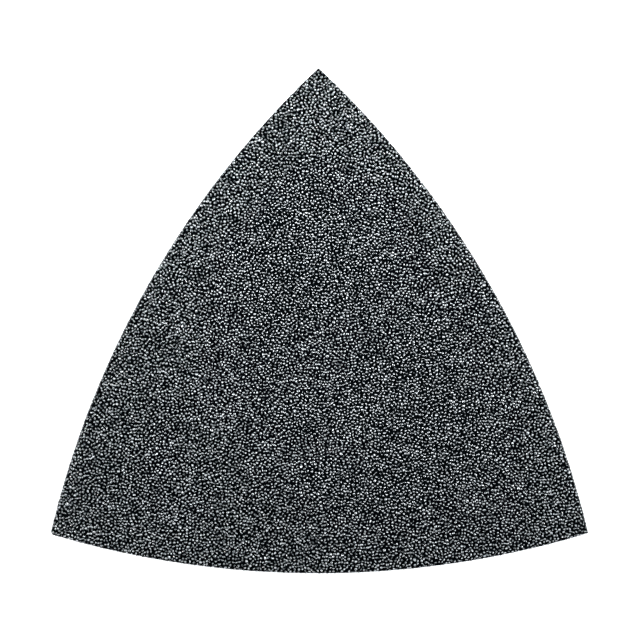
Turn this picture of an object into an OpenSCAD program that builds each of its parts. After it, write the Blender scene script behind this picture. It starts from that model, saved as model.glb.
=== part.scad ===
// Hook-and-loop sanding sheet with three bowed sides, for the pad of a detail sander.
//
// The sheet is a flexible laminate: seven layers, all die-cut to one outline, bonded face to
// face. It lies grit side up. Dimensions are in millimetres. The origin is the centre of the
// outline on the loop face, +Y points to one corner and +Z points out of the grit.

/* [Outline] */
// Straight distance between two neighbouring corners
corner_span = 80; // [60:1:110]
// How far the middle of each side bows out past that straight line
side_bow = 5.9; // [2:0.1:10]

/* [Hook-and-loop backing] */
// Height of the loops that the pad's hooks catch
pile_t = 0.60; // [0.3:0.05:1.2]
// Thickness of the knitted ground that the loops stand on
knit_t = 0.25; // [0.15:0.05:0.5]
// Adhesive film between the knit and the paper
adhesive_t = 0.08; // [0.04:0.01:0.2]

/* [Abrasive paper] */
// Thickness of the heavy backing paper
paper_t = 0.38; // [0.2:0.01:0.6]
// First resin coat, in which the grains are planted
make_t = 0.14; // [0.08:0.01:0.25]
// Second resin coat, which flows up around the grains
size_t = 0.15; // [0.08:0.01:0.25]
// How far the tallest grains stand out of the resin
grain_t = 0.40; // [0.1:0.05:0.8]

/* [Hidden] */

// Each side is one arc, through two corners and the middle of its bow
side_r = (pow(corner_span / 2, 2) + pow(side_bow, 2)) / (2 * side_bow);
// Distance from the centre of the outline to the middle of a side
side_reach = corner_span / (2 * sqrt(3)) + side_bow;

// Height of the lower face of each layer above the loop face
knit_z = pile_t;
adhesive_z = knit_z + knit_t;
paper_z = adhesive_z + adhesive_t;
make_z = paper_z + paper_t;
size_z = make_z + make_t;
grain_z = size_z + size_t;

// The disc whose edge is one side of the outline: the side that faces the given direction
module side_disc(facing) {
    rotate(facing) translate([side_reach - side_r, 0]) circle(r = side_r, $fn = 360);
}

// Triangle with three bowed sides and sharp corners, the same seen from each corner
module outline() {
    intersection() {
        side_disc(facing = 30);
        side_disc(facing = 150);
        side_disc(facing = 270);
    }
}

// One layer of the laminate
module layer(bottom, thickness) {
    translate([0, 0, bottom]) linear_extrude(thickness) outline();
}

// Brushed loops on the underside, which grip the hooks of the sanding pad
module loop_pile() {
    color("#838585") layer(0, pile_t);
}

// Knitted fabric that holds the feet of the loops
module loop_ground_knit() {
    color("#7f8181") layer(knit_z, knit_t);
}

// Film that bonds the loop fabric to the paper
module laminating_adhesive() {
    color("#77705d") layer(adhesive_z, adhesive_t);
}

// Heavy paper, saturated with latex
module backing_paper() {
    color("#615546") layer(paper_z, paper_t);
}

// Resin that holds the feet of the grains
module make_coat() {
    color("#2b2622") layer(make_z, make_t);
}

// Resin poured over the planted grains
module size_coat() {
    color("#23282b") layer(size_z, size_t);
}

// Closed coat of coarse grains, as one layer of the height that they stand out of the resin
module abrasive_grains() {
    color("#4a4e51") layer(grain_z, grain_t);
}

loop_pile();
loop_ground_knit();
laminating_adhesive();
backing_paper();
make_coat();
size_coat();
abrasive_grains();
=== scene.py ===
import math

import bmesh
import bpy
import numpy as np
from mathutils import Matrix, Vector, kdtree, noise


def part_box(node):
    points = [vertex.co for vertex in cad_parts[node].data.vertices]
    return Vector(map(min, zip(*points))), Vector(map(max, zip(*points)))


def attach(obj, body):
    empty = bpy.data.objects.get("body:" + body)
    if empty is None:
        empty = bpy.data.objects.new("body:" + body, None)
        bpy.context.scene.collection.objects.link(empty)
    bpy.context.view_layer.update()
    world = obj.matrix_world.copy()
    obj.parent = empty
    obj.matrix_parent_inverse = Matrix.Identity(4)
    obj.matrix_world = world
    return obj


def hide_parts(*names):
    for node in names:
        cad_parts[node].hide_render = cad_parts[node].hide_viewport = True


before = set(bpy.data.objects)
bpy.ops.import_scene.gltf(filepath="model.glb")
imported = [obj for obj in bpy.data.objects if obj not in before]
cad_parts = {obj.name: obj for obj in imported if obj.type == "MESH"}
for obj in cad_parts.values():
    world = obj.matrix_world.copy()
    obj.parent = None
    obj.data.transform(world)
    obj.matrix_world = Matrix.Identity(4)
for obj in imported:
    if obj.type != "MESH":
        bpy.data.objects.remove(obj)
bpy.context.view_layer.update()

# A triangular hook-and-loop sanding sheet, lying grit side up. Everything is in metres.
# The layers from the floor up: loops, knitted ground, adhesive, paper, two resin coats, grains.

MM = 0.001

# ---------------------------------------------------------------- outline, from the CAD frame
LOW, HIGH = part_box("backing_paper")
CORNER_SPAN = HIGH.x - LOW.x
INNER_REACH = CORNER_SPAN / (2 * math.sqrt(3))
SIDE_REACH = -LOW.y
SIDE_BOW = SIDE_REACH - INNER_REACH
SIDE_R = (CORNER_SPAN ** 2 / 4 + SIDE_BOW ** 2) / (2 * SIDE_BOW)
CORNER_ANGLES = np.radians([90, 210, 330])


def directions(angles):
    """Unit vectors in the plane of the sheet, one a row."""
    return np.stack([np.cos(angles), np.sin(angles)], axis=1)


CORNERS = directions(CORNER_ANGLES) * CORNER_SPAN / math.sqrt(3)
FACINGS = -directions(CORNER_ANGLES)
ARC_CENTRES = FACINGS * (SIDE_REACH - SIDE_R)


def depths(points):
    """How far each point is inside each of the three sides; less than 0 is outside."""
    return SIDE_R - np.linalg.norm(points[:, None] - ARC_CENTRES[None], axis=2)


def outward(points):
    """The outward direction of the nearest side, at each point."""
    away = points - ARC_CENTRES[np.argmin(depths(points), axis=1)]
    return away / np.linalg.norm(away, axis=1, keepdims=True)


# ---------------------------------------------------------------- heights, from the CAD frame
def level(node):
    """The heights of the lower and upper face of a CAD layer."""
    low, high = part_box(node)
    return low.z, high.z


LOOP_TIP_Z, KNIT_Z = level("loop_pile")
ADHESIVE_Z = level("laminating_adhesive")[0]
SIZE_COAT_Z = level("size_coat")[0]
RESIN_Z, GRAIN_TIP_Z = level("abrasive_grains")

# ---------------------------------------------------------------- sizes that the looks need
GRAIN_GAP = 0.40 * MM           # least distance between the middles of two grains
GRAIN_REACH = 0.34 * MM         # greatest reach of a grain from its middle
GRAIN_FOOT = 0.25 * MM          # how deep a grain sits in the resin
GRAIN_SHAPES = 150
FLANK_RISE = 0.42               # a face whose direction rises less than this is a flank
LOOP_GAP = 0.45 * MM            # least distance between the middles of two loops
LOOP_POINTS = 10                # along the centreline of a loop
LOOP_ROOT = 0.06 * MM           # how deep the feet of a loop are in the knit
YARN_R = 0.030 * MM
WALE = 0.80 * MM                # width of a column of stitches in the knit
COURSE = 0.60 * MM              # height of a row of stitches
KNIT_RELIEF = 0.07 * MM
SCATTER_ROUNDS = 40             # enough that hardly another grain or loop would fit
EDGE_STEPS = 340                # lattice steps along a side, on the faces with relief
RIM_STEPS = 300                 # and on the layers that show only their cut edge
CORNER_ROUNDS = (0.30 * MM, 0.70 * MM, 0.15 * MM)   # apex, left, right, as in the photo
SLICES = [f"slice_{hour:02d}" for hour in range(1, 13)]


# ---------------------------------------------------------------- mesh helpers
def rounded(vertices):
    """The vertices, pulled in to a round wherever they are past the round of a corner."""
    half = math.pi / 6 + math.asin(CORNER_SPAN / 2 / SIDE_R)
    vertices = np.array(vertices, float)
    for corner, radius in zip(CORNERS, CORNER_ROUNDS):
        outwards = corner / np.linalg.norm(corner)
        centre = corner - outwards * radius / math.sin(half)
        away = vertices[:, :2] - centre
        reach = np.linalg.norm(away, axis=1)
        past = (reach > radius) & (away @ outwards > reach * math.sin(half))
        vertices[past, :2] = centre + away[past] * (radius / reach[past])[:, None]
    return vertices


def new_piece(name, vertices, faces, material, node, smooth=False):
    """A mesh object that rides on the sheet and stands for a CAD node."""
    mesh = bpy.data.meshes.new(name)
    mesh.from_pydata(rounded(vertices), [], faces)
    mesh.polygons.foreach_set("use_smooth", [smooth] * len(mesh.polygons))
    mesh.materials.append(material)
    mesh.update()
    piece = bpy.data.objects.new(name, mesh)
    bpy.context.scene.collection.objects.link(piece)
    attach(piece, "root")
    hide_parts(node)
    return piece


def bowed_lattice(steps):
    """An even lattice that fills the outline: its points, its triangles and its rim, anticlockwise."""
    rows = [(i, j) for i in range(steps + 1) for j in range(steps + 1 - i)]
    place = {ij: k for k, ij in enumerate(rows)}
    shares = np.array([(steps - i - j, i, j) for i, j in rows]) / steps
    points = shares @ CORNERS
    for side in range(3):
        far, one, other = side, (side + 1) % 3, (side + 2) % 3
        along = shares[:, other] + shares[:, far] / 2
        rise = np.sqrt(SIDE_R ** 2 - (CORNER_SPAN * (along - 0.5)) ** 2) - (SIDE_R - SIDE_BOW)
        fade = shares[:, one] * shares[:, other] / np.maximum(along * (1 - along), 1e-12)
        points += (rise * fade)[:, None] * FACINGS[side]
    up = [(place[i, j], place[i + 1, j], place[i, j + 1]) for i, j in rows if i + j < steps]
    down = [
        (place[i + 1, j], place[i + 1, j + 1], place[i, j + 1]) for i, j in rows if i + j < steps - 1
    ]
    rim = [place[k, 0] for k in range(steps)]
    rim += [place[steps - k, k] for k in range(steps)]
    rim += [place[0, steps - k] for k in range(steps)]
    return points, np.array(up + down), np.array(rim)


def rough(points, z, grain, depth):
    """Smooth noise from 0 to depth at each point, with bumps about as wide as grain."""
    return np.array([
        depth * (0.5 + 0.5 * noise.noise(Vector((x, y, z)) / grain)) for x, y in points
    ])


def laminate(steps, rings, top=None, bottom=None):
    """Vertices and faces of a closed layer in the sheet's outline.

    rings are (height, inset) pairs from the top edge down, each a number or one value for every
    rim point. top and bottom hold a height for every lattice point, or are None for a flat face.
    """
    points, triangles, rim = bowed_lattice(steps)
    count = len(rim)
    edge, inward = points[rim], -outward(points[rim])
    vertices = []
    for height, inset in rings:
        ring = edge + inward * np.broadcast_to(inset, count)[:, None]
        vertices.append(np.column_stack([ring, np.broadcast_to(height, count)]))
    ahead = np.roll(np.arange(count), -1)
    faces = []
    for k in range(len(rings) - 1):
        upper, lower = np.arange(count) + k * count, np.arange(count) + (k + 1) * count
        faces += np.column_stack([lower, lower[ahead], upper[ahead], upper]).tolist()
    total = len(rings) * count
    for heights, first, upwards in ((top, 0, True), (bottom, (len(rings) - 1) * count, False)):
        if heights is None:
            ring = np.arange(count) + first
            vertices.append(np.array([[0, 0, np.mean(vertices[first // count][:, 2])]]))
            fan = np.column_stack([ring, ring[ahead], np.full(count, total)])
            total += 1
        else:
            inner = np.setdiff1d(np.arange(len(points)), rim)
            index = np.empty(len(points), int)
            index[rim] = np.arange(count) + first
            index[inner] = np.arange(len(inner)) + total
            vertices.append(np.column_stack([points[inner], heights[inner]]))
            fan = index[triangles]
            total += len(inner)
        faces += (fan if upwards else fan[:, ::-1]).tolist()
    return np.concatenate(vertices), faces


def cut_layer(name, node, material, profile, seed):
    """A layer of which only the die-cut edge shows.

    profile lists the rings from the top down: share of the height, inset, unevenness.
    """
    low, high = level(node)
    points, _, rim = bowed_lattice(RIM_STEPS)
    rings = []
    for share, inset, unevenness in profile:
        height = high - share * (high - low)
        rings.append((height, inset + rough(points[rim], height * 3 + seed, 0.22 * MM, unevenness)))
    vertices, faces = laminate(RIM_STEPS, rings)
    return new_piece(name, vertices, faces, material, node)


def scattered(gap, margin, rng):
    """Points all over the sheet, as dense as they go with none nearer than gap to another.

    They reach margin past the outline. A grid of cells, each too small for two points, finds the
    neighbours of all points at once.
    """
    cell = gap / math.sqrt(2)
    size = math.ceil(2 * (np.abs(CORNERS).max() + 4 * gap) / cell)
    corner = np.indices((size, size)).transpose(1, 2, 0) * cell - size * cell / 2
    settled = np.full((size, size, 2), np.inf)
    shifts = [(i, j) for i in range(-2, 3) for j in range(-2, 3) if (i, j) != (0, 0)]
    for _ in range(SCATTER_ROUNDS):
        trial = corner + rng.random((size, size, 2)) * cell
        luck = rng.random((size, size))
        fits = np.isinf(settled[..., 0])
        fits &= (depths(trial.reshape(-1, 2)).min(axis=1) > -margin).reshape(size, size)
        for shift in shifts:
            near = np.roll(settled, shift, axis=(0, 1))
            fits &= ~(np.hypot(*(trial - near).transpose(2, 0, 1)) < gap)
        luck[~fits] = -1
        wins = fits.copy()
        for shift in shifts:
            near = np.roll(trial, shift, axis=(0, 1))
            close = np.hypot(*(trial - near).transpose(2, 0, 1)) < gap
            wins &= ~(close & (np.roll(luck, shift, axis=(0, 1)) > luck))
        settled[wins] = trial[wins]
    return settled[np.isfinite(settled[..., 0])]


def sectors(points):
    """Which slice of the sheet each point is in, clockwise from the apex like the hours of a clock."""
    share = (math.pi / 2 - np.arctan2(points[:, 1], points[:, 0])) % (2 * math.pi) / (2 * math.pi)
    return (share * len(SLICES)).astype(int)


# ---------------------------------------------------------------- material helpers
class Surface:
    """A Principled material, and short ways to feed it from procedural nodes."""

    def __init__(self, name, **settings):
        self.material = bpy.data.materials.new(name)
        self.material.use_nodes = True
        self.tree = self.material.node_tree
        self.tree.nodes.clear()
        output = self.tree.nodes.new("ShaderNodeOutputMaterial")
        self.shader = self.tree.nodes.new("ShaderNodeBsdfPrincipled")
        self.tree.links.new(self.shader.outputs["BSDF"], output.inputs["Surface"])
        for socket, value in settings.items():
            self.shader.inputs[socket.replace("_", " ")].default_value = value
        self.place = self.tree.nodes.new("ShaderNodeTexCoord").outputs["Object"]

    def link(self, source, target):
        self.tree.links.new(source, target)

    def set(self, socket, source):
        self.link(source, self.shader.inputs[socket])

    def stretched(self, x, y, z):
        """The place on the object with each axis scaled."""
        mapping = self.tree.nodes.new("ShaderNodeMapping")
        mapping.inputs["Scale"].default_value = (x, y, z)
        self.link(self.place, mapping.inputs["Vector"])
        return mapping.outputs["Vector"]

    def noise(self, bump_width, detail=3.0, roughness=0.55, place=None):
        """Fractal noise whose largest bumps are about bump_width across, in metres."""
        texture = self.tree.nodes.new("ShaderNodeTexNoise")
        texture.inputs["Scale"].default_value = 1 / bump_width
        texture.inputs["Detail"].default_value = detail
        texture.inputs["Roughness"].default_value = roughness
        self.link(place or self.place, texture.inputs["Vector"])
        return texture.outputs["Fac"]

    def height(self):
        """How high above the loop face the point is, in metres."""
        parts = self.tree.nodes.new("ShaderNodeSeparateXYZ")
        self.link(self.place, parts.inputs["Vector"])
        return parts.outputs["Z"]

    def own(self, attribute):
        """A value that the mesh stores for each face."""
        reader = self.tree.nodes.new("ShaderNodeAttribute")
        reader.attribute_name = attribute
        return reader.outputs["Fac"]

    def between(self, source, low, high, start=0.3, end=0.7):
        """source from start to end, moved to the range low to high.

        Nearly all of a noise texture is between the values that start and end have if not given.
        """
        ranger = self.tree.nodes.new("ShaderNodeMapRange")
        ranges = {"From Min": start, "From Max": end, "To Min": low, "To Max": high}
        for socket, value in ranges.items():
            ranger.inputs[socket].default_value = value
        self.link(source, ranger.inputs["Value"])
        return ranger.outputs["Result"]

    def maths(self, operation, one, other):
        node = self.tree.nodes.new("ShaderNodeMath")
        node.operation = operation
        self.link(one, node.inputs[0])
        self.link(other, node.inputs[1])
        return node.outputs["Value"]

    def ramp(self, source, *stops):
        """Colours along source: stops are (position, (r, g, b))."""
        node = self.tree.nodes.new("ShaderNodeValToRGB")
        elements = node.color_ramp.elements
        while len(elements) < len(stops):
            elements.new(0.5)
        for element, (position, colour) in zip(elements, stops):
            element.position = position
            element.color = (*colour, 1)
        self.link(source, node.inputs["Fac"])
        return node.outputs["Color"]

    def mixed(self, share, colour, other):
        """A fixed colour where share is 0, and the other, from nodes, where it is 1."""
        node = self.tree.nodes.new("ShaderNodeMix")
        node.data_type = "RGBA"
        self.link(share, node.inputs["Factor"])
        node.inputs["A"].default_value = (*colour, 1)
        self.link(other, node.inputs["B"])
        return node.outputs["Result"]

    def bump(self, height, depth):
        """Relief of this depth, in metres, on the shading."""
        node = self.tree.nodes.new("ShaderNodeBump")
        node.inputs["Strength"].default_value = 1.0
        node.inputs["Distance"].default_value = depth
        self.link(height, node.inputs["Height"])
        self.set("Normal", node.outputs["Normal"])


# ---------------------------------------------------------------- materials
def grit_material():
    """The tops of the grains: blue-grey crystal, painted blacker lower down, partly for the real resin
    film and partly as painted shade low between the grains.
    """
    s = Surface("crushed_grit", IOR=2.65, Specular_IOR_Level=0.49)
    mottle = s.noise(0.10 * MM, detail=2)
    tone = s.maths("MULTIPLY", s.own("tone"), s.between(mottle, 0.7, 1.3))
    crystal_colour = s.ramp(
        tone,
        (0.0, (0.0080, 0.0112, 0.0135)),
        (1.0, (0.118, 0.131, 0.140)),
    )
    # Painted shade: lower down, each grain is painted resin-black, partly the real resin film on the
    # grain and partly painted shade in the gaps between grains.
    share = s.between(s.height(), 0, 1, RESIN_Z, GRAIN_TIP_Z)
    wetting_and_shade_wobble = s.between(s.noise(0.12 * MM, detail=2), -0.15, 0.15)
    bare_of_film_and_shade = s.between(s.maths("ADD", share, wetting_and_shade_wobble), 0, 1, 0.05, 0.35)
    resin_film_and_painted_shade = (0.0030, 0.0052, 0.0066)
    s.set("Base Color", s.mixed(bare_of_film_and_shade, resin_film_and_painted_shade, crystal_colour))
    s.set("Roughness", s.between(s.noise(0.25 * MM, detail=2), 0.08, 0.42))
    return s.material


def wetted_material():
    """The steep flanks of the grains, under a film of the dark resin of the size coat."""
    s = Surface("resin_wetted_grit", IOR=1.55, Specular_IOR_Level=0.49)
    s.set("Base Color", s.ramp(
        s.noise(0.12 * MM, detail=3),
        (0.30, (0.0060, 0.0088, 0.0105)),
        (0.70, (0.0240, 0.0295, 0.0330)),
    ))
    s.set("Roughness", s.between(s.noise(0.25 * MM, detail=2), 0.20, 0.50))
    return s.material


def resin_material():
    """Cured phenolic resin, smooth and glossy, painted almost black: darker than the same resin on the
    grains, as painted shade in the gaps between them.
    """
    s = Surface("phenolic_resin_painted_shade", IOR=1.55, Specular_IOR_Level=0.3)
    # Painted shade: this resin colour is darker than the resin painted on the grains, and stands for
    # the shade in the deep gaps between grains.
    s.set("Base Color", s.ramp(
        s.noise(0.5 * MM, detail=4),
        (0.30, (0.0001, 0.0003, 0.0005)),
        (0.70, (0.0004, 0.0009, 0.0013)),
    ))
    s.set("Roughness", s.between(s.noise(0.2 * MM), 0.12, 0.22))
    return s.material


def paper_material():
    """Kraft paper soaked in latex: fibres lie in the plane of the sheet, so the cut edge is layered."""
    s = Surface("latex_paper", Specular_IOR_Level=0.3)
    layered = s.stretched(1, 1, 7)
    fibres = s.noise(0.16 * MM, detail=5, roughness=0.65, place=layered)
    s.set("Base Color", s.ramp(
        fibres,
        (0.28, (0.050, 0.037, 0.025)),
        (0.50, (0.120, 0.090, 0.060)),
        (0.72, (0.230, 0.182, 0.130)),
    ))
    s.set("Roughness", s.between(fibres, 0.95, 0.75))
    s.bump(fibres, 0.03 * MM)
    return s.material


def adhesive_material():
    """Hot-melt film: yellowish, a little glossy, with small voids."""
    s = Surface("hot_melt_film", IOR=1.48, Specular_IOR_Level=0.49)
    s.set("Base Color", s.ramp(
        s.noise(0.35 * MM, detail=4),
        (0.30, (0.130, 0.110, 0.068)),
        (0.65, (0.240, 0.212, 0.150)),
    ))
    s.set("Roughness", s.between(s.noise(0.15 * MM), 0.30, 0.55))
    s.bump(s.noise(0.12 * MM), 0.01 * MM)
    return s.material


def knit_material():
    """Fine nylon warp knit: bundles of filaments, slightly uneven in colour."""
    s = Surface("nylon_knit", Sheen_Weight=0.15, Sheen_Roughness=0.5, Specular_IOR_Level=0.35)
    filaments = s.noise(0.09 * MM, detail=4, place=s.stretched(3, 1, 1))
    s.set("Base Color", s.ramp(
        filaments,
        (0.25, (0.130, 0.136, 0.137)),
        (0.75, (0.290, 0.298, 0.298)),
    ))
    s.set("Roughness", s.between(filaments, 0.80, 0.60))
    s.bump(filaments, 0.02 * MM)
    return s.material


def loop_material():
    """Brushed nylon loops, each a slightly different grey."""
    s = Surface("nylon_loop", Sheen_Weight=0.2, Sheen_Roughness=0.4, Specular_IOR_Level=0.4)
    streaks = s.noise(0.12 * MM, detail=3)
    tone = s.maths("MULTIPLY", s.own("tone"), s.between(streaks, 0.8, 1.2))
    s.set("Base Color", s.ramp(
        tone,
        (0.0, (0.120, 0.126, 0.128)),
        (1.0, (0.330, 0.340, 0.340)),
    ))
    s.set("Roughness", s.between(streaks, 0.40, 0.60))
    return s.material


# ---------------------------------------------------------------- grains
def facing_plane(turn, tilt, distance):
    """A cutting plane: a point on it and its direction, tilted from straight up towards turn."""
    cos, sin = math.cos(turn), math.sin(turn)
    facing = Vector((cos * math.sin(tilt), sin * math.sin(tilt), math.cos(tilt)))
    return facing * distance, facing


def crystal(rng):
    """One crushed grain, about 2 units across: a ring of steep flanks under a broken top."""
    block = bmesh.new()
    bmesh.ops.create_cube(block, size=2.0)
    flanks = rng.integers(5, 7)
    start = rng.uniform(0, 2 * math.pi)
    planes = []
    for k in range(flanks):
        turn = start + 2 * math.pi * (k + rng.uniform(-0.3, 0.3)) / flanks
        planes.append(facing_plane(turn, math.radians(rng.uniform(68, 95)), rng.uniform(0.72, 0.95)))
    for k in range(rng.integers(3, 6)):
        turn = rng.uniform(0, 2 * math.pi)
        planes.append(facing_plane(turn, math.radians(rng.uniform(5, 60)), rng.uniform(0.55, 0.85)))
    cut_away(block, planes, 1e-6)
    vertices = np.array([v.co for v in block.verts])
    faces = [[v.index for v in face.verts] for face in block.faces]
    block.free()
    return vertices, faces


def cut_away(block, planes, merge):
    """Cuts off what is past each plane, and closes the cut."""
    for point, facing in planes:
        bmesh.ops.bisect_plane(
            block, geom=block.verts[:] + block.edges[:] + block.faces[:], dist=merge,
            plane_co=point, plane_no=facing, clear_outer=True,
        )
        open_edges = [edge for edge in block.edges if edge.is_boundary]
        if open_edges:
            bmesh.ops.edgeloop_fill(block, edges=open_edges)
    bmesh.ops.recalc_face_normals(block, faces=block.faces)
    block.verts.index_update()


def cut_flush(vertices, faces, planes):
    """The grain without what is past the planes, each a point and an outward direction."""
    grain = bmesh.new()
    corners = [grain.verts.new(v) for v in vertices]
    for face in faces:
        grain.faces.new([corners[k] for k in face])
    cut_away(grain, planes, 1e-9)
    vertices = np.array([v.co for v in grain.verts]).reshape(-1, 3)
    faces = [[v.index for v in face.verts] for face in grain.faces]
    grain.free()
    return vertices, faces


def spacing(points):
    """The distance from each point to its nearest neighbour."""
    tree = kdtree.KDTree(len(points))
    for k, point in enumerate(points):
        tree.insert((*point, 0), k)
    tree.balance()
    return np.array([tree.find_n((*point, 0), 2)[1][2] for point in points])


def planted(vertices, middle, reach, rng):
    """The vertices of a crystal stretched, turned, sized to this reach and stood in the resin."""
    stretch = rng.uniform(0.65, 1.5)
    turn = rng.uniform(0, 2 * math.pi)
    cos, sin = math.cos(turn), math.sin(turn)
    body = vertices * (stretch, 1 / stretch, 1)
    body[:, :2] = body[:, :2] @ np.array([[cos, sin], [-sin, cos]])
    body[:, :2] *= reach / np.abs(body[:, :2]).max()
    foot = RESIN_Z - GRAIN_FOOT
    tip = GRAIN_TIP_Z - (GRAIN_TIP_Z - RESIN_Z) * 0.45 * rng.random() ** 1.5
    low, high = body[:, 2].min(), body[:, 2].max()
    body[:, 2] = foot + (body[:, 2] - low) * (tip - foot) / (high - low)
    body[:, :2] += middle
    return body


def rim_planes(middle, near_sides, rng):
    """Where the die cuts a grain: a plane for each side of the sheet that it is near."""
    planes = []
    for side in near_sides:
        facing = middle - ARC_CENTRES[side]
        facing = Vector((*(facing / np.linalg.norm(facing)), 0))
        rim = Vector((*ARC_CENTRES[side], 0)) + facing * SIDE_R
        planes.append((rim - facing * rng.uniform(-0.01, 0.05) * MM, facing))
    return planes


def all_grains():
    """The middle, the reach and the mesh of every grain."""
    rng = np.random.default_rng(7)
    shapes = [crystal(rng) for _ in range(GRAIN_SHAPES)]
    middles = scattered(GRAIN_GAP, 0.10 * MM, rng)
    reaches = np.minimum(0.58 * spacing(middles), GRAIN_REACH) * rng.uniform(0.80, 1.12, len(middles))
    grains = []
    for middle, reach, depth in zip(middles, reaches, depths(middles)):
        vertices, faces = shapes[rng.integers(GRAIN_SHAPES)]
        body = planted(vertices, middle, reach, rng)
        planes = rim_planes(middle, np.nonzero(depth < reach * 1.5)[0], rng)
        if planes:
            body, faces = cut_flush(body, faces, planes)
        if len(faces) >= 4:
            grains.append((middle, reach, body, faces))
    return grains


def add_grains(grains, crystal_top, wetted_flank):
    """All grains, as one piece for each slice of the sheet."""
    rng = np.random.default_rng(11)
    which = sectors(np.array([grain[0] for grain in grains]))
    for k, slice_name in enumerate(SLICES):
        vertices, faces, tones = [], [], []
        start = 0
        for g in np.nonzero(which == k)[0]:
            _, _, body, body_faces = grains[g]
            vertices.append(body)
            faces += [[start + v for v in face] for face in body_faces]
            tones += (rng.beta(1.6, 2.2) + rng.normal(0, 0.10, len(body_faces))).clip(0, 1).tolist()
            start += len(body)
        piece = new_piece(
            f"abrasive_grains_{slice_name}", np.concatenate(vertices), faces, crystal_top,
            "abrasive_grains", smooth=True,
        )
        piece.data.attributes.new("tone", "FLOAT", "FACE").data.foreach_set("value", tones)
        piece.data.materials.append(wetted_flank)
        flanks = [int(face.normal.z < FLANK_RISE) for face in piece.data.polygons]
        piece.data.polygons.foreach_set("material_index", flanks)


# ---------------------------------------------------------------- resin coats
def add_size_coat(grains, material):
    """The resin between the grains. It climbs a little up the foot of each."""
    points, _, rim = bowed_lattice(EDGE_STEPS)
    tree = kdtree.KDTree(len(grains))
    for k, (middle, *_) in enumerate(grains):
        tree.insert((*middle, 0), k)
    tree.balance()
    climb, reach = 0.12 * MM, 0.09 * MM
    heights = np.empty(len(points))
    for k, point in enumerate(points):
        near = tree.find_n((*point, 0), 3)
        gaps = [max(distance - 0.8 * grains[g][1], 0) for _, g, distance in near]
        heights[k] = RESIN_Z - 0.03 * MM + climb * sum(math.exp(-gap / reach) for gap in gaps) / 2
    heights += rough(points, 0, 0.8 * MM, 0.04 * MM)
    inset = rough(points[rim], 1, 0.25 * MM, 0.05 * MM)
    rings = [
        (heights[rim], inset),
        (SIZE_COAT_Z + 0.6 * (RESIN_Z - SIZE_COAT_Z), inset * 0.5),
        (SIZE_COAT_Z, rough(points[rim], 2, 0.3 * MM, 0.03 * MM)),
    ]
    vertices, faces = laminate(EDGE_STEPS, rings, top=heights)
    new_piece("size_coat_resin", vertices, faces, material, "size_coat", smooth=True)


# ---------------------------------------------------------------- loop fabric
def flat_area():
    """The area of the outline."""
    points, triangles, _ = bowed_lattice(60)
    first, second, third = (points[triangles[:, k]] for k in range(3))
    one, other = second - first, third - first
    return float(np.abs(one[:, 0] * other[:, 1] - one[:, 1] * other[:, 0]).sum() / 2)


CUT_AREA = flat_area()


def add_knit(material):
    """The knitted ground, with columns of stitches on its underside."""
    points, _, rim = bowed_lattice(EDGE_STEPS)
    x, y = points.T
    rib = np.abs(np.sin(math.pi * x / WALE))
    stitch = 0.5 + 0.5 * np.cos(2 * math.pi * (y / COURSE + 0.25 * np.sin(2 * math.pi * x / WALE)))
    heights = KNIT_Z + KNIT_RELIEF - KNIT_RELIEF * rib * (0.55 + 0.45 * stitch)
    inset = rough(points[rim], 5, 0.3 * MM, 0.06 * MM)
    rings = [
        (ADHESIVE_Z, inset),
        (ADHESIVE_Z - 0.4 * (ADHESIVE_Z - KNIT_Z), inset * 0.4),
        (heights[rim], inset),
    ]
    vertices, faces = laminate(EDGE_STEPS, rings, bottom=heights)
    piece = new_piece(
        "knitted_ground", vertices, faces, material, "loop_ground_knit", smooth=True,
    )


def loop_lines(rng):
    """The middle of every loop, and its centreline from one foot, round the loop, to the other."""
    share = np.linspace(0, 1, LOOP_POINTS)
    across = 0.5 * np.sin(2 * math.pi * (share - 0.5) * 0.86) * (1.1 - 0.2 * np.abs(share - 0.5))
    down = np.sin(math.pi * share) ** 0.85
    middles = scattered(LOOP_GAP, -0.05 * MM, rng)
    count = len(middles)
    turn = rng.normal(0.35, 0.75, count)
    width = rng.uniform(0.42, 0.68, count) * MM
    height = (KNIT_Z - LOOP_TIP_Z - YARN_R) * (1 - 0.35 * rng.random(count) ** 2)
    lean = rng.normal(0.12, 0.16, (count, 2)) * MM
    along = np.stack([np.cos(turn), np.sin(turn)], axis=1)
    lines = np.empty((count, len(share), 3))
    lines[..., :2] = middles[:, None] + along[:, None] * (across * width[:, None])[..., None]
    lines[..., :2] += lean[:, None] * (down ** 2)[None, :, None]
    lines[..., 2] = KNIT_Z + LOOP_ROOT - (height + LOOP_ROOT)[:, None] * down
    inside = depths(lines[..., :2].reshape(-1, 2)).min(axis=1).reshape(count, -1).min(axis=1)
    past = np.maximum(YARN_R * 1.5 - inside, 0)
    lines[..., :2] -= (outward(middles) * past[:, None])[:, None]
    return middles, lines


def tubes(lines, radius, sides=4):
    """Vertices and faces of a closed round tube along every line."""
    count, length, _ = lines.shape
    tangent = np.gradient(lines, axis=1)
    tangent /= np.linalg.norm(tangent, axis=2, keepdims=True)
    across = np.cross(lines[:, -1] - lines[:, 0], (0, 0, 1))
    across /= np.linalg.norm(across, axis=1, keepdims=True)
    one = np.cross(tangent, across[:, None])
    one /= np.linalg.norm(one, axis=2, keepdims=True)
    other = np.cross(tangent, one)
    angle = np.arange(sides) * 2 * math.pi / sides
    ring = one[:, :, None] * np.cos(angle)[:, None] + other[:, :, None] * np.sin(angle)[:, None]
    vertices = (lines[:, :, None] + radius * ring).reshape(-1, 3)
    index = np.arange(count * length * sides).reshape(count, length, sides)
    quads = np.stack([
        index[:, :-1], np.roll(index, -1, axis=2)[:, :-1],
        np.roll(index, -1, axis=2)[:, 1:], index[:, 1:],
    ], axis=-1).reshape(-1, 4)
    ends = np.concatenate([index[:, 0, ::-1], index[:, -1]])
    return vertices, quads.tolist() + ends.tolist()


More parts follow.
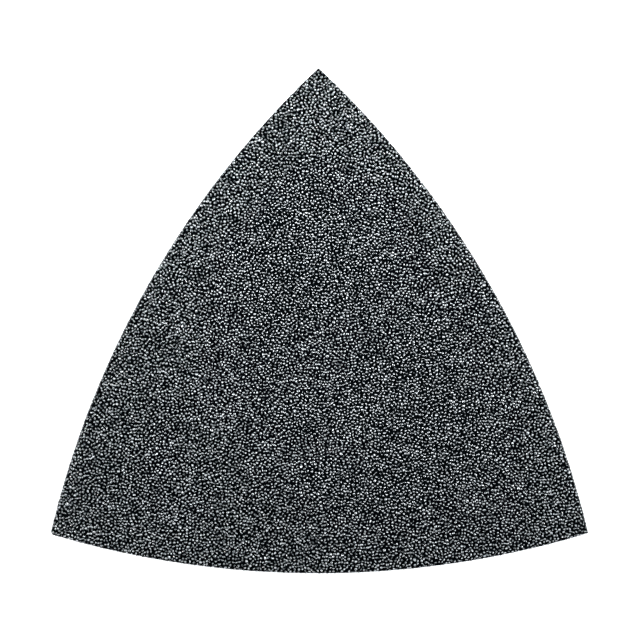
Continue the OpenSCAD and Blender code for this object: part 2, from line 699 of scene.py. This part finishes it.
def add_loops(material):
    """The brushed pile, as one piece for each slice of the sheet."""
    rng = np.random.default_rng(23)
    middles, lines = loop_lines(rng)
    which = sectors(middles)
    for k, slice_name in enumerate(SLICES):
        mine = lines[which == k]
        vertices, faces = tubes(mine, YARN_R)
        piece = new_piece(
            f"loop_pile_{slice_name}", vertices, faces, material, "loop_pile",
            smooth=True,
        )
        tones = rng.random(len(mine))
        around = np.repeat(tones, (len(faces) - 2 * len(mine)) // len(mine))
        tones = np.concatenate([around, tones, tones])
        piece.data.attributes.new("tone", "FLOAT", "FACE").data.foreach_set("value", tones)


# ---------------------------------------------------------------- studio
TABLE_WIDTH = 0.6
LIGHT_DISTANCE = 0.6
LIGHT_HEIGHT = 0.35             # of the lit face of a softbox
LIGHT_ELEVATION = math.radians(35)
LIGHT_COLOUR = (0.94, 0.975, 1.0)
LEFT_POWER, RIGHT_POWER = 5.3, 6.5
GRID_SHARE = 0.048              # power of a gridded light, against the softbox beside it
PAST_APEX = Vector((0, 0.13, 0))


def add_floor():
    """A plain white table top, which glows faintly like a light table."""
    s = Surface("white_table", Roughness=0.6, Emission_Color=(1, 1, 1, 1), Emission_Strength=0.35)
    s.set("Base Color", s.ramp(
        s.noise(0.05, detail=2),
        (0.3, (0.89, 0.89, 0.89)),
        (0.7, (0.91, 0.91, 0.91)),
    ))
    bpy.ops.mesh.primitive_plane_add(size=TABLE_WIDTH, location=(0, 0, -0.02 * MM))
    floor = bpy.context.object
    floor.name = "table_top"
    floor.data.materials.append(s.material)


def add_softbox(name, azimuth, width, power, spread=180, aim=Vector()):
    """A studio light that faces the aim. Azimuth 0 is over +Y, 90 over +X.

    A spread under 180 degrees is a grid in front of it, which dims what is away from the aim.
    """
    light = bpy.data.lights.new(name, "AREA")
    light.shape = "RECTANGLE"
    light.size, light.size_y = width, LIGHT_HEIGHT
    light.energy = power
    light.spread = math.radians(spread)
    light.color = LIGHT_COLOUR
    a, e = math.radians(azimuth), LIGHT_ELEVATION
    direction = Vector((math.sin(a) * math.cos(e), math.cos(a) * math.cos(e), math.sin(e)))
    holder = bpy.data.objects.new(name, light)
    holder.location = direction * LIGHT_DISTANCE
    holder.rotation_mode = "QUATERNION"
    holder.rotation_quaternion = (holder.location - aim).to_track_quat("Z", "Y")
    holder.visible_camera = False
    bpy.context.scene.collection.objects.link(holder)


def add_lights():
    """Two wide softboxes, left and right, and by each three gridded lights that brighten the apex."""
    for side_name, side, power in (("left", -1, LEFT_POWER), ("right", 1, RIGHT_POWER)):
        add_softbox(f"softbox_{side_name}", side * 75, 0.50, power)
        for k, azimuth in enumerate((55, 75, 95)):
            name = f"grid_{side_name}_{k}"
            add_softbox(name, side * azimuth, 0.17, power * GRID_SHARE, spread=34, aim=PAST_APEX)


def add_world():
    """A dim white room, bright only where the camera sees past the table."""
    world = bpy.data.worlds.new("studio")
    bpy.context.scene.world = world
    world.use_nodes = True
    tree = world.node_tree
    background = tree.nodes["Background"]
    background.inputs["Color"].default_value = (1, 1, 1, 1)
    seen = tree.nodes.new("ShaderNodeLightPath").outputs["Is Camera Ray"]
    ranger = tree.nodes.new("ShaderNodeMapRange")
    ranger.inputs["To Min"].default_value = 0.004
    ranger.inputs["To Max"].default_value = 1.0
    tree.links.new(seen, ranger.inputs["Value"])
    tree.links.new(ranger.outputs["Result"], background.inputs["Strength"])


def add_camera():
    """Straight above the sheet, with a long lens, the apex up, framed as in the photo."""
    camera = bpy.data.cameras.new("camera")
    camera.lens, camera.sensor_width = 90, 36
    view_width = 94.97 * MM     # at the tips of the grains
    middle = (LOW + HIGH) / 2
    holder = bpy.data.objects.new("camera", camera)
    height = view_width * camera.lens / camera.sensor_width
    holder.location = (middle.x + 0.15 * MM, middle.y + 0.07 * MM, GRAIN_TIP_Z + height)
    holder.rotation_euler = (0, 0, math.radians(-0.1))
    camera.clip_start, camera.clip_end = 0.01, 10
    bpy.context.scene.collection.objects.link(holder)
    bpy.context.scene.camera = holder


# ---------------------------------------------------------------- the scene
add_camera()
add_world()
add_floor()
add_lights()
bpy.context.scene.view_settings.view_transform = "Standard"

resin = resin_material()
grains = all_grains()
add_grains(grains, grit_material(), wetted_material())
add_size_coat(grains, resin)
cut_layer("make_coat_resin", "make_coat", resin, [
    (0.0, 0.01 * MM, 0.03 * MM),
    (0.5, 0.00 * MM, 0.04 * MM),
    (1.0, 0.01 * MM, 0.02 * MM),
], 1)
cut_layer("backing_paper_fibre", "backing_paper", paper_material(), [
    (0.0, 0.01 * MM, 0.02 * MM),
    (0.2, 0.00 * MM, 0.04 * MM),
    (0.4, 0.00 * MM, 0.05 * MM),
    (0.6, 0.00 * MM, 0.05 * MM),
    (0.8, 0.00 * MM, 0.04 * MM),
    (1.0, 0.01 * MM, 0.02 * MM),
], 2)
cut_layer("adhesive_film", "laminating_adhesive", adhesive_material(), [
    (0.0, 0.03 * MM, 0.05 * MM),
    (0.5, 0.02 * MM, 0.06 * MM),
    (1.0, 0.03 * MM, 0.05 * MM),
], 3)
add_knit(knit_material())
add_loops(loop_material())
